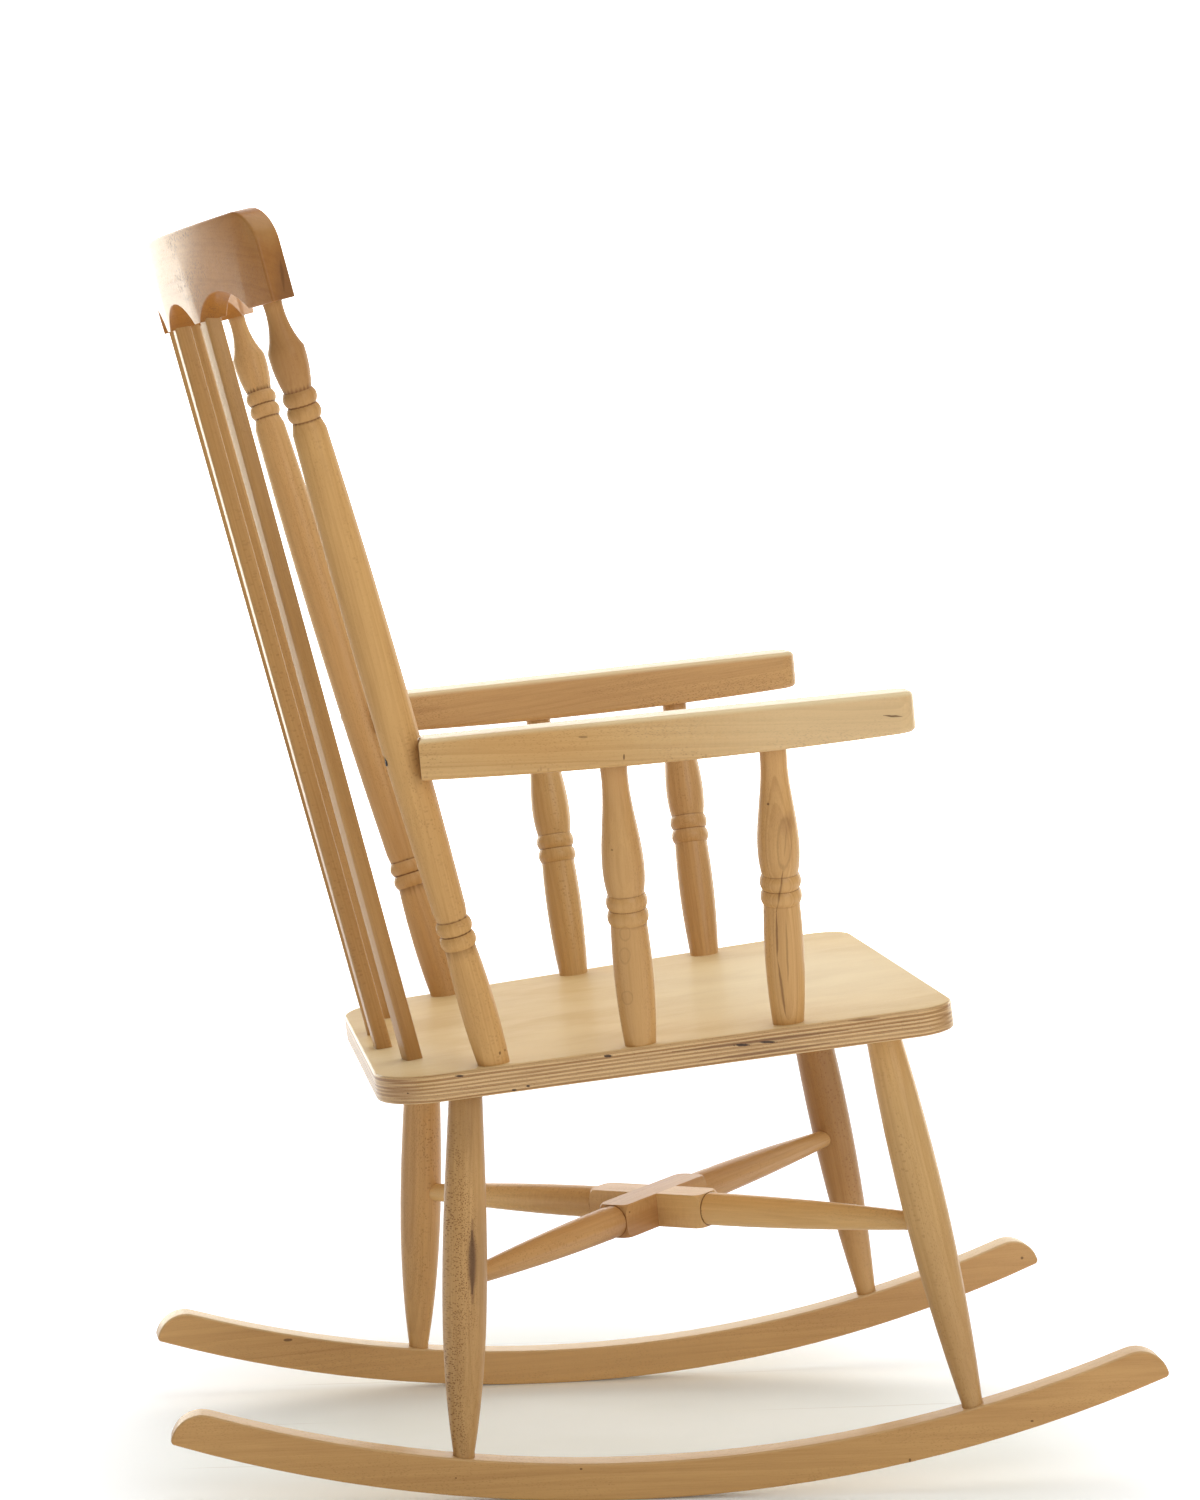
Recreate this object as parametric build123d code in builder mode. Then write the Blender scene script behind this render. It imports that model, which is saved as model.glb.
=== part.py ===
# Rocking chair: scalloped crest rail, four slats, turned legs, diagonal half-lapped stretchers.
# Millimetres.  +X is the front, +Y the sitter's left, +Z up.
# The origin lies on the floor midway between the rockers, under their lowest point.
import os
from math import asin, cos, degrees, radians, sin, sqrt, tan

from build123d import *

# rockers
rocker_radius = 1240
rocker_height = 32
rocker_thickness = 25
rocker_half_gauge = 208
rocker_toe = 2.8
rocker_rear_reach = 367.5
rocker_front_reach = 486.5
rocker_nose = 26
rocker_tip = 4
rocker_edge = 2

# seat
seat_height = 386.5
seat_slope = 7.5
seat_thickness = 24
seat_front = 297.5
seat_rear = 194.5
seat_front_half_width = 250
seat_rear_half_width = 212
seat_front_corner = 36
seat_rear_corner = 58
seat_edge = 2.5

# legs
rear_leg_top_x = -117
rear_leg_top_y = 187
rear_leg_foot_x = -119.5
front_leg_top_x = 240.5
front_leg_top_y = 192
front_leg_foot_x = 316.5
leg_top_diameter = 27.5
leg_belly_diameter = 38.2
leg_calf_diameter = 31
leg_foot_diameter = 18.5
leg_belly_at = 152
leg_calf_at = 252
leg_tenon_diameter = 20
leg_tenon_length = 14
leg_foot_depth = 14
leg_foot_straight = 4

# diagonal stretchers
stretcher_rear_height = 188
stretcher_front_height = 231
block_side = 30
block_half_length = 62
block_shoulder = 13
stretcher_root_diameter = 29
stretcher_middle_diameter = 25
stretcher_end_diameter = 16.5
stretcher_stop = 5

# back
post_foot_x = -94.5
post_foot_y = 201
post_top_y = 286
post_foot_diameter = 25
post_lower_belly_diameter = 29.6
post_lower_belly_at = 74
post_beads_at = 106
post_groove_diameter = 26
post_bead_diameter = 31
post_bead_height = 12.7
post_body_diameter = 34.5
post_body_at = 317
post_body_end_diameter = 28.6
post_body_relief = 9
post_upper_beads_drop = 98.7
post_upper_groove_diameter = 23.5
post_upper_bead_diameter = 28.5
urn_diameter = 29.6
urn_height = 34
urn_shoulder_diameter = 30.4
neck_diameter = 20
neck_height = 14
post_top_diameter = 16
post_top_depth = 22
post_tenon_diameter = 18
post_tenon_length = 14

slat_width = 18
slat_thickness = 14
slat_edge = 2.5
inner_slat_foot_y = 40
inner_slat_top_y = 56
outer_slat_foot_y = 120
outer_slat_top_y = 168
slat_foot_x = -176.5
slat_foot_arc = 350
slat_seat_depth = 12
slat_crest_depth = 18

crest_radius = 633
crest_lean = 15.2
crest_x = -350.5
crest_z = 989.5
crest_thickness = 22
crest_height = 78
crest_overhang = 17.5
crest_corner = 32
crest_edge = 2
scallop_edge = 1
scallop_half_width = 48
scallop_depth = 20.5

# arms and their supports
arm_rise = 5.6
arm_splay = 4.1
arm_rear_x = -160
arm_rear_y = 241
arm_rear_z = 619
arm_length = 411.5
arm_width = 52
arm_thickness = 34
arm_belly = 5
arm_corner = 17
arm_edge = 5

rear_support_foot_x = 28.5
rear_support_foot_y = 213
rear_support_top_x = -2
front_support_foot_x = 154.5
front_support_foot_y = 216
front_support_top_x = 130.5
support_foot_diameter = 24
support_lower_belly_diameter = 33
support_lower_belly_at = 82
support_beads_at = 107
support_groove_diameter = 31
support_bead_diameter = 35.2
support_bead_height = 13
support_upper_belly_diameter = 35.6
support_upper_belly_at = 154
support_calf_diameter = 26.5
support_calf_at = 205
support_top_diameter = 23
support_top_straight = 9
support_top_depth = 14
support_tenon_diameter = 16
support_tenon_length = 13

# arm screws
screw_shank_diameter = 4.5
screw_length = 50
screw_head_diameter = 9
screw_head_height = 3
screw_head_sink = 3.6
screw_slot_length = 5.2
screw_slot_width = 1.1
screw_slot_depth = 1.4

# fits
tenon_clearance = 0.1
socket_clearance = 0.1
lap_clearance = 0.1
screw_clearance = 0.1

# spare length added where a round piece is scribed to a flat face
scribe = 12

sides = {"left": 1, "right": -1}
up = Vector(0, 0, 1)
forward = Vector(1, 0, 0)
straight_down = 270


def seat_plane(below=0):
    """The seat's top face, or a plane that far beneath it."""
    slope = radians(seat_slope)
    lowered = Vector(0, 0, seat_height) + Vector(sin(slope), 0, -cos(slope)) * below
    return Plane(origin=lowered, x_dir=(cos(slope), 0, sin(slope)), z_dir=(-sin(slope), 0, cos(slope)))


def on_seat(x, y, below=0):
    """The point of the seat's top face (or that far beneath it) over plan position x, y."""
    slope = radians(seat_slope)
    return Vector(x, y, seat_height + x * tan(slope) - below / cos(slope))


def rocker_y(x):
    """Half the spacing of the rockers' middle planes at a distance x from the origin."""
    return rocker_half_gauge + x * tan(radians(rocker_toe))


def on_rocker(x, side):
    """The point on a rocker's upper edge over x."""
    inner = rocker_radius - rocker_height
    along = x / cos(radians(rocker_toe))
    return Vector(x, side * rocker_y(x), rocker_radius - sqrt(inner**2 - along**2))


def crest_frame():
    """Origin at the middle of the crest's underside, x forward across its thickness, z up its lean."""
    lean = radians(crest_lean)
    upward = (-sin(lean), 0, cos(lean))
    return Plane(origin=(crest_x, 0, crest_z), x_dir=(cos(lean), 0, sin(lean)), z_dir=upward)


def under_crest(y):
    """The point on the centre line of the crest's underside at half width y."""
    bow = crest_radius - sqrt(crest_radius**2 - y**2)
    return crest_frame().from_local_coords(Vector(bow, y, 0))


def arm_direction(side):
    """Unit vector from the post end of an arm to its free end."""
    rise = radians(arm_rise)
    splay = radians(arm_splay)
    return Vector(cos(rise) * cos(splay), side * cos(rise) * sin(splay), sin(rise))


def arm_frame(side):
    """Origin at the middle of the arm's lower rear edge, x along the arm, z out of its top face."""
    ahead = arm_direction(side)
    across = up.cross(ahead).normalized()
    return Plane(origin=(arm_rear_x, side * arm_rear_y, arm_rear_z), x_dir=ahead, z_dir=ahead.cross(across))


def under_arm(x, side):
    """The point on the centre line of an arm's underside over x."""
    ahead = arm_direction(side)
    return arm_frame(side).origin + ahead * ((x - arm_rear_x) / ahead.X)


def lathe_plane(start, end):
    """Half-section plane of a turned piece: x is the radius, y runs from start to end."""
    along = (end - start).normalized()
    radial = along.cross(forward).normalized()
    return Plane(origin=start, x_dir=radial, z_dir=radial.cross(along))


def pin(start, end, diameter, length, mode=Mode.ADD):
    """A cylinder of the given length that begins at start and points towards end."""
    along = (end - start).normalized()
    with BuildSketch(Plane(origin=start, z_dir=along)) as disc:
        Circle(diameter / 2)
    extrude(disc.sketch, amount=length, mode=mode)


def bore(start, end, diameter, length):
    """A flat-bottomed hole for a pin of that diameter, opened a little outside start as well."""
    along = (end - start).normalized()
    pin(start - along * scribe, end, diameter + 2 * tenon_clearance, length + scribe, Mode.SUBTRACT)


def save(name, builder):
    builder.part.label = name
    export_step(builder.part, f"parts/{name}.step")


def beads(groove_radius, bead_radius, start, height):
    """Outline of two beads side by side."""
    for base in (start, start + height):
        ThreePointArc((groove_radius, base), (bead_radius, base + height / 2), (groove_radius, base + height))


# ---- where the round pieces start and end ----

def leg_ends(place, side):
    if place == "rear":
        top = on_seat(rear_leg_top_x, side * rear_leg_top_y, seat_thickness)
        return top, on_rocker(rear_leg_foot_x, side)
    top = on_seat(front_leg_top_x, side * front_leg_top_y, seat_thickness)
    return top, on_rocker(front_leg_foot_x, side)


def leg_point(place, side, height):
    """The point of a leg's axis at a height above the floor."""
    top, foot = leg_ends(place, side)
    return foot + (top - foot) * ((height - foot.Z) / (top.Z - foot.Z))


def stretcher_ends(side):
    """From the rear leg on that side to the front leg on the other."""
    rear = leg_point("rear", side, stretcher_rear_height)
    return rear, leg_point("front", -side, stretcher_front_height)


def post_ends(side):
    return on_seat(post_foot_x, side * post_foot_y), under_crest(side * post_top_y)


def slat_ends(place, side):
    foot_y, top_y = inner_slat_foot_y, inner_slat_top_y
    if place == "outer":
        foot_y, top_y = outer_slat_foot_y, outer_slat_top_y
    # the feet stand on a shallow arc that opens to the front
    foot = on_seat(slat_foot_x + foot_y**2 / (2 * slat_foot_arc), side * foot_y)
    return foot, under_crest(side * top_y)


def support_ends(place, side):
    if place == "rear":
        return on_seat(rear_support_foot_x, side * rear_support_foot_y), under_arm(rear_support_top_x, side)
    return on_seat(front_support_foot_x, side * front_support_foot_y), under_arm(front_support_top_x, side)


def screw_ends(side):
    """From the screw's seat behind the post to its point in the arm."""
    ahead = arm_direction(side)
    end_face = arm_frame(side).origin + arm_frame(side).z_dir * arm_thickness / 2
    foot, top = post_ends(side)
    along = (top - foot).normalized()
    # nearest approach of the post's axis to the screw's line
    gap = end_face - foot
    lean = ahead.dot(along)
    axis_hit = foot + along * ((gap.dot(along) - gap.dot(ahead) * lean) / (1 - lean**2))
    reach = (axis_hit - end_face).dot(ahead)
    head_seat = end_face + ahead * (reach - post_body_diameter / 2 + screw_head_sink)
    return head_seat, head_seat + ahead * screw_length


# ---- pieces ----

def make_rocker(side):
    toe = radians(rocker_toe)
    face = Plane(
        origin=(0, side * rocker_half_gauge, 0),
        x_dir=(cos(toe), side * sin(toe), 0),
        z_dir=(side * sin(toe), -cos(toe), 0),
    )
    rear = degrees(asin(rocker_rear_reach / rocker_radius))
    front = degrees(asin(rocker_front_reach / rocker_radius))
    arc_centre = (0, rocker_radius)
    with BuildPart() as rocker:
        with BuildSketch(face):
            with BuildLine():
                rocker_arc = (straight_down - rear, rear + front)
                under = CenterArc(arc_centre, rocker_radius, *rocker_arc)
                over = CenterArc(arc_centre, rocker_radius - rocker_height, *rocker_arc)
                Line(under @ 0, over @ 0)
                Line(under @ 1, over @ 1)
            make_face()
            fillet(vertices().sort_by_distance(arc_centre)[:2], rocker_nose)
            fillet(vertices().sort_by_distance(arc_centre)[-2:], rocker_tip)
        extrude(amount=rocker_thickness / 2, both=True)
        flanks = faces().sort_by(Axis(face.origin, face.z_dir))
        fillet(flanks[0].edges() + flanks[-1].edges(), rocker_edge)
        for place in ("front", "rear"):
            top, foot = leg_ends(place, side)
            bore(foot, foot * 2 - top, leg_foot_diameter, leg_foot_depth)
    return rocker


def make_leg(place, side):
    top, foot = leg_ends(place, side)
    length = (foot - top).length
    with BuildPart() as leg:
        with BuildSketch(lathe_plane(top, foot)):
            with BuildLine():
                crown = (leg_top_diameter / 2, -scribe)
                ankle = (leg_foot_diameter / 2, length - leg_foot_straight)
                Line((0, -scribe), crown)
                Spline(
                    crown,
                    (leg_belly_diameter / 2, leg_belly_at),
                    (leg_calf_diameter / 2, leg_calf_at),
                    ankle,
                )
                end = length + leg_foot_depth
                Polyline(ankle, (ankle[0], end), (0, end), (0, -scribe))
            make_face()
        revolve(axis=Axis(top, foot - top))
        split(bisect_by=seat_plane(seat_thickness), keep=Keep.BOTTOM)
        pin(top, top * 2 - foot, leg_tenon_diameter, leg_tenon_length)
        rear, front = stretcher_ends(side if place == "rear" else -side)
        if place == "rear":
            leg_hole(front, rear)
        else:
            leg_hole(rear, front)
    return leg


def leg_hole(away, axis_point):
    """Flat-bottomed hole for a stretcher end, stopping short of the leg's axis."""
    inward = (axis_point - away).normalized()
    mouth = axis_point - inward * leg_belly_diameter
    depth = leg_belly_diameter - stretcher_stop
    pin(mouth, axis_point, stretcher_end_diameter + 2 * tenon_clearance, depth, Mode.SUBTRACT)


def make_stretcher(side):
    rear, front = stretcher_ends(side)
    ahead = (front - rear).normalized()
    crossing = rear + ahead * (rear.Y / (rear.Y - front.Y)) * (front - rear).length
    root = stretcher_root_diameter / 2
    corner = block_side / sqrt(2)
    tip = stretcher_end_diameter / 2
    with BuildPart() as stretcher:
        with BuildSketch(lathe_plane(crossing, front)):
            with BuildLine():
                for end, way in ((rear, -1), (front, 1)):
                    reach = (end - crossing).length - stretcher_stop
                    shoulder = block_half_length
                    Spline(
                        (root, way * shoulder),
                        (corner, way * (shoulder - block_shoulder)),
                        tangents=((1, 0), (0, -way)),
                    )
                    middle = (shoulder + reach) / 2
                    neck = (tip, way * (reach - leg_belly_diameter / 2))
                    Spline(
                        (root, way * shoulder),
                        (stretcher_middle_diameter / 2, way * middle),
                        neck,
                    )
                    Polyline(neck, (tip, way * reach), (0, way * reach))
                    Line((0, way * reach), (0, 0))
                Line((corner, shoulder - block_shoulder), (corner, block_shoulder - shoulder))
            make_face()
        revolve(axis=Axis(crossing, ahead))
        # square block, its top face in the plane that both stretchers share
        other_rear, other_front = stretcher_ends(-side)
        other = (other_front - other_rear).normalized()
        lap_normal = ahead.cross(other) * side
        block = Plane(origin=crossing, x_dir=lap_normal.cross(ahead), z_dir=ahead)
        with BuildSketch(block):
            Circle(corner * 2)
            Rectangle(block_side, block_side, mode=Mode.SUBTRACT)
        extrude(amount=block_half_length, both=True, mode=Mode.SUBTRACT)
        # half of the block's height is taken away where the other stretcher passes
        with BuildSketch(Plane(origin=crossing, x_dir=other, z_dir=lap_normal * side)):
            Rectangle(block_half_length, block_side + 2 * lap_clearance)
        extrude(amount=block_side, mode=Mode.SUBTRACT)
    return stretcher


def make_seat():
    top = seat_plane()
    with BuildPart() as seat:
        with BuildSketch(top):
            with BuildLine():
                Polyline(
                    (seat_front, seat_front_half_width),
                    (-seat_rear, seat_rear_half_width),
                    (-seat_rear, -seat_rear_half_width),
                    (seat_front, -seat_front_half_width),
                    close=True,
                )
            make_face()
            corners = vertices().sort_by(Axis(top.origin, top.x_dir))
            fillet(corners[:2], seat_rear_corner)
            fillet(vertices().sort_by(Axis(top.origin, top.x_dir))[-2:], seat_front_corner)
        extrude(amount=-seat_thickness)
        rims = faces().sort_by(Axis(top.origin, top.z_dir))
        fillet(rims[0].edges() + rims[-1].edges(), seat_edge)
        for side in sides.values():
            for place in ("front", "rear"):
                leg_top, leg_foot = leg_ends(place, side)
                bore(leg_top, leg_top * 2 - leg_foot, leg_tenon_diameter, leg_tenon_length)
                foot, head = support_ends(place, side)
                bore(foot, foot * 2 - head, support_tenon_diameter, support_tenon_length)
            foot, head = post_ends(side)
            bore(foot, foot * 2 - head, post_tenon_diameter, post_tenon_length)
            for place in ("inner", "outer"):
                slat_bar(place, side, socket_clearance, Mode.SUBTRACT)
    return seat


def slat_bar(place, side, clearance=0, mode=Mode.ADD):
    """A slat with its housed ends, or the space it needs."""
    foot, head = slat_ends(place, side)
    along = (head - foot).normalized()
    turn = asin(head.Y / crest_radius)
    frame = crest_frame()
    across = frame.y_dir * cos(turn) + frame.x_dir * sin(turn)
    start = foot - along * slat_seat_depth
    length = (head - foot).length + slat_seat_depth + slat_crest_depth
    with BuildSketch(Plane(origin=start, x_dir=across, z_dir=along)) as section:
        RectangleRounded(slat_width + 2 * clearance, slat_thickness + 2 * clearance, slat_edge)
    extrude(section.sketch, amount=length, mode=mode)


def make_slat(place, side):
    with BuildPart() as slat:
        slat_bar(place, side)
    return slat


def make_post(side):
    foot, head = post_ends(side)
    length = (head - foot).length
    lower_beads_end = post_beads_at + 2 * post_bead_height
    upper_beads_start = length - post_upper_beads_drop
    urn_start = upper_beads_start + 2 * post_bead_height
    urn_top = urn_start + urn_height
    with BuildPart() as post:
        with BuildSketch(lathe_plane(foot, head)):
            with BuildLine():
                base = (post_foot_diameter / 2, -scribe)
                Line((0, -scribe), base)
                Spline(
                    base,
                    (post_lower_belly_diameter / 2, post_lower_belly_at),
                    (post_groove_diameter / 2, post_beads_at),
                )
                groove = post_groove_diameter / 2
                beads(groove, post_bead_diameter / 2, post_beads_at, post_bead_height)
                body_foot = (post_body_end_diameter / 2, lower_beads_end + post_body_relief)
                body_head = (post_body_end_diameter / 2, upper_beads_start - post_body_relief)
                Line((groove, lower_beads_end), body_foot)
                Spline(body_foot, (post_body_diameter / 2, post_body_at), body_head)
                groove = post_upper_groove_diameter / 2
                Line(body_head, (groove, upper_beads_start))
                beads(groove, post_upper_bead_diameter / 2, upper_beads_start, post_bead_height)
                shoulder = (urn_shoulder_diameter / 2, urn_top)
                Spline(
                    (groove, urn_start),
                    (urn_diameter / 2, urn_start + urn_height / 2),
                    shoulder,
                )
                neck = (neck_diameter / 2, urn_top + neck_height)
                top = (post_top_diameter / 2, length)
                Spline(shoulder, neck, top)
                Polyline(top, (top[0], length + post_top_depth), (0, length + post_top_depth), (0, -scribe))
            make_face()
        revolve(axis=Axis(foot, head - foot))
        split(bisect_by=seat_plane(), keep=Keep.TOP)
        pin(foot, foot * 2 - head, post_tenon_diameter, post_tenon_length)
        # flat notch for the end of the arm
        arm_blank(side, Mode.SUBTRACT)
        screw_hole(side)
    return post


def screw_hole(side):
    """Clearance for the arm screw with a flat seat for its head."""
    seat_point, tip = screw_ends(side)
    hole = screw_shank_diameter + 2 * screw_clearance
    pin(seat_point, tip, hole, screw_length + screw_clearance, Mode.SUBTRACT)
    counterbore = screw_head_diameter + 2 * screw_clearance
    pin(seat_point, seat_point * 2 - tip, counterbore, scribe, Mode.SUBTRACT)


def make_crest():
    frame = crest_frame()
    half_length = post_top_y + crest_overhang
    sweep = degrees(asin(half_length / crest_radius))
    with BuildPart() as crest:
        with BuildSketch(frame):
            with BuildLine():
                half = crest_thickness / 2
                back = CenterArc((crest_radius, 0), crest_radius + half, 180 - sweep, 2 * sweep)
                front = CenterArc((crest_radius, 0), crest_radius - half, 180 - sweep, 2 * sweep)
                Line(back @ 0, front @ 0)
                Line(back @ 1, front @ 1)
            make_face()
        extrude(amount=crest_height)
        # five scallops, with a point over each slat
        between_slats = (inner_slat_top_y + outer_slat_top_y) / 2
        outer_scallop = outer_slat_top_y * 2 - between_slats
        drop = (scallop_half_width**2 + scallop_depth**2) / (2 * scallop_depth)
        elevation = Plane(origin=frame.origin, x_dir=frame.y_dir, z_dir=frame.x_dir)
        with BuildSketch(elevation):
            for y in (0, between_slats, -between_slats, outer_scallop, -outer_scallop):
                with Locations((y, scallop_depth - drop)):
                    Circle(drop)
        extrude(amount=half_length, both=True, mode=Mode.SUBTRACT)
        ends = faces().sort_by(Axis(frame.origin, frame.y_dir))
        tops = [end.edges().sort_by(Axis(frame.origin, frame.z_dir))[-1] for end in (ends[0], ends[-1])]
        fillet(tops, crest_corner)
        shoulder_line = crest_height - crest_edge
        upper = [edge for edge in edges() if frame.to_local_coords(edge.center()).Z > shoulder_line]
        fillet(upper, crest_edge)
        lower = edges().filter_by(lambda edge: edge.length > crest_thickness + crest_edge)
        lower = [edge for edge in lower if frame.to_local_coords(edge.center()).Z < scallop_depth]
        fillet(lower, scallop_edge)
        for side in sides.values():
            foot, head = post_ends(side)
            bore(head, head * 2 - foot, post_top_diameter, post_top_depth)
            for place in ("inner", "outer"):
                slat_bar(place, side, socket_clearance, Mode.SUBTRACT)
    return crest


def arm_blank(side, mode=Mode.ADD):
    """An arm before its edges are eased: straight on top, bowed down between its ends below."""
    frame = arm_frame(side)
    profile = Plane(origin=frame.origin, x_dir=frame.x_dir, z_dir=frame.y_dir * -1)
    with BuildSketch(profile) as outline:
        with BuildLine():
            Polyline((0, 0), (0, arm_thickness), (arm_length, arm_thickness), (arm_length, 0))
            ThreePointArc((arm_length, 0), (arm_length / 2, -arm_belly), (0, 0))
        make_face()
    extrude(outline.sketch, amount=arm_width / 2, both=True, mode=mode)


def make_arm(side):
    frame = arm_frame(side)
    with BuildPart() as arm:
        arm_blank(side)
        free_end = faces().sort_by(Axis(frame.origin, frame.x_dir))[-1]
        fillet(free_end.edges().sort_by(SortBy.LENGTH)[:2], arm_corner)
        long_faces = faces().sort_by(Axis(frame.origin, frame.z_dir))
        square_end = faces().sort_by(Axis(frame.origin, frame.x_dir))[0].edges()
        underside = [edge for edge in long_faces[0].edges() if edge not in square_end]
        fillet(long_faces[-1].edges() + underside, arm_edge)
        for place in ("front", "rear"):
            foot, head = support_ends(place, side)
            bore(head, head * 2 - foot, support_top_diameter, support_top_depth)
        screw_hole(side)
    return arm


def make_support(place, side):
    foot, head = support_ends(place, side)
    length = (head - foot).length
    with BuildPart() as support:
        with BuildSketch(lathe_plane(foot, head)):
            with BuildLine():
                base = (support_foot_diameter / 2, -scribe)
                groove = support_groove_diameter / 2
                Line((0, -scribe), base)
                lower_belly = (support_lower_belly_diameter / 2, support_lower_belly_at)
                Spline(base, lower_belly, (groove, support_beads_at))
                beads(groove, support_bead_diameter / 2, support_beads_at, support_bead_height)
                crown = (support_top_diameter / 2, length - support_top_straight)
                end = length + support_top_depth
                Spline(
                    (groove, support_beads_at + 2 * support_bead_height),
                    (support_upper_belly_diameter / 2, support_upper_belly_at),
                    (support_calf_diameter / 2, support_calf_at),
                    crown,
                )
                Polyline(crown, (crown[0], end), (0, end), (0, -scribe))
            make_face()
        revolve(axis=Axis(foot, head - foot))
        split(bisect_by=seat_plane(), keep=Keep.TOP)
        pin(foot, foot * 2 - head, support_tenon_diameter, support_tenon_length)
    return support


def make_screw(side):
    seat_point, tip = screw_ends(side)
    ahead = (tip - seat_point).normalized()
    with BuildPart() as screw:
        pin(seat_point, tip, screw_shank_diameter, screw_length)
        head = Plane(origin=seat_point, z_dir=ahead * -1)
        with BuildSketch(head):
            Circle(screw_head_diameter / 2)
        extrude(amount=screw_head_height)
        rim = faces().sort_by(Axis(seat_point, ahead * -1))[-1]
        fillet(rim.edges(), screw_head_height / 2)
        with BuildSketch(head.offset(screw_head_height - screw_slot_depth)):
            Rectangle(screw_slot_length, screw_slot_width)
            Rectangle(screw_slot_width, screw_slot_length)
        extrude(amount=screw_head_height, mode=Mode.SUBTRACT)
    return screw


os.makedirs("parts", exist_ok=True)
save("seat", make_seat())
save("crest_rail", make_crest())
save("stretcher_over", make_stretcher(sides["right"]))
save("stretcher_under", make_stretcher(sides["left"]))
for hand, side in sides.items():
    save(f"rocker_{hand}", make_rocker(side))
    save(f"back_post_{hand}", make_post(side))
    save(f"arm_{hand}", make_arm(side))
    save(f"arm_screw_{hand}", make_screw(side))
    for place in ("front", "rear"):
        save(f"leg_{place}_{hand}", make_leg(place, side))
        save(f"arm_support_{place}_{hand}", make_support(place, side))
    for place in ("inner", "outer"):
        save(f"slat_{place}_{hand}", make_slat(place, side))
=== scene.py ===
# Rocking chair in lacquered beech with a plywood seat
import math

import bpy
import numpy as np
from mathutils import Matrix, Vector


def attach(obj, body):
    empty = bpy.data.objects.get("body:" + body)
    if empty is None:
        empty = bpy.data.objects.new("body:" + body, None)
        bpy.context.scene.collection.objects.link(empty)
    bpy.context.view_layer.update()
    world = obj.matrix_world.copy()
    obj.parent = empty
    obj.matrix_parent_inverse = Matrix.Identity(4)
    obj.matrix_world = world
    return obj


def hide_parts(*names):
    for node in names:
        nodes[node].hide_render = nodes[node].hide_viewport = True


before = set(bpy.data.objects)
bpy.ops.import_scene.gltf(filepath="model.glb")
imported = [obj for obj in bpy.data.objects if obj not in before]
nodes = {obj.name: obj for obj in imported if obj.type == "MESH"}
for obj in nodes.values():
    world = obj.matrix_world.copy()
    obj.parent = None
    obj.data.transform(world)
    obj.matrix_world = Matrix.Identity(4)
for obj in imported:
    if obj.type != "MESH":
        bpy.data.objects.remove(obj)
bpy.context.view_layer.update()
print("chair loaded:", len(nodes), "pieces")


# small helpers for node trees

def addNode(tree, kind, inputs=None, **settings):
    node = tree.nodes.new(kind)
    for name, value in settings.items():
        setattr(node, name, value)
    for name, value in (inputs or {}).items():
        socket = node.inputs[name]
        if isinstance(value, bpy.types.NodeSocket):
            tree.links.new(value, socket)
        else:
            socket.default_value = value
    return node


def addGroup(tree, group, inputs):
    return addNode(tree, "ShaderNodeGroup", inputs, node_tree=group)


def maths(tree, operation, first, second=0.5, third=0.5, clamp=False):
    return addNode(tree, "ShaderNodeMath", {0: first, 1: second, 2: third},
                   operation=operation, use_clamp=clamp).outputs[0]


def vectorMaths(tree, operation, first, second=(0, 0, 0), output="Vector"):
    return addNode(tree, "ShaderNodeVectorMath", {0: first, 1: second},
                   operation=operation).outputs[output]


def mixColours(tree, amount, first, second):
    return addNode(tree, "ShaderNodeMix", {0: amount, 6: first, 7: second}, data_type="RGBA").outputs[2]


def softStep(tree, value, low, high):
    node = addNode(tree, "ShaderNodeMapRange", {"Value": value, "From Min": low, "From Max": high},
                   interpolation_type="SMOOTHSTEP")
    return node.outputs["Result"]


def noise(tree, vector, stretch, detail=2.0, roughness=0.5, output="Fac"):
    scaled = vectorMaths(tree, "MULTIPLY", vector, stretch)
    return addNode(tree, "ShaderNodeTexNoise", {"Vector": scaled, "Scale": 1.0, "Detail": detail,
                                                "Roughness": roughness}).outputs[output]


# a noise that pushes a vector about by up to half of reach in each direction
def wander(tree, vector, stretch, reach, detail=2.0):
    push = noise(tree, vector, stretch, detail, output="Color")
    push = vectorMaths(tree, "SUBTRACT", push, (0.5, 0.5, 0.5))
    return vectorMaths(tree, "ADD", vector, vectorMaths(tree, "MULTIPLY", push, reach))


def newGroup(name, kind, inputs, outputs):
    group = bpy.data.node_groups.new(name, kind)
    for label, socketType, value in inputs:
        socket = group.interface.new_socket(name=label, in_out="INPUT", socket_type=socketType)
        if value is not None:
            socket.default_value = value
    for label, socketType in outputs:
        group.interface.new_socket(name=label, in_out="OUTPUT", socket_type=socketType)
    return group, group.nodes.new("NodeGroupInput"), group.nodes.new("NodeGroupOutput")


# beech: growth rings, fibres, ray flecks and slow colour changes
# the grain vector is in metres from the heart of the tree, with the fibres along z

# changes in a metre across, through and along the fibres, and how far the rings bend
beechGrain = {"bend": (9, 9, 1.8), "bendReach": (0.014, 0.014, 0), "streaks": (210, 210, 4.5),
              "fineStreaks": (800, 800, 26), "rayPatches": (42, 42, 9), "clouds": (16, 16, 2.6)}
# where each feature starts to show and where it shows in full
beechSteps = {"lateWood": (0.30, 0.93), "yearEnd": (1.0, 0.95), "rayPlates": (0.50, 0.25),
              "rayPick": (0.90, 1.10), "rayPatches": (0.40, 0.62), "clouds": (0.32, 0.70),
              "fibres": (0.36, 0.68), "ends": (0.45, 0.85)}
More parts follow.
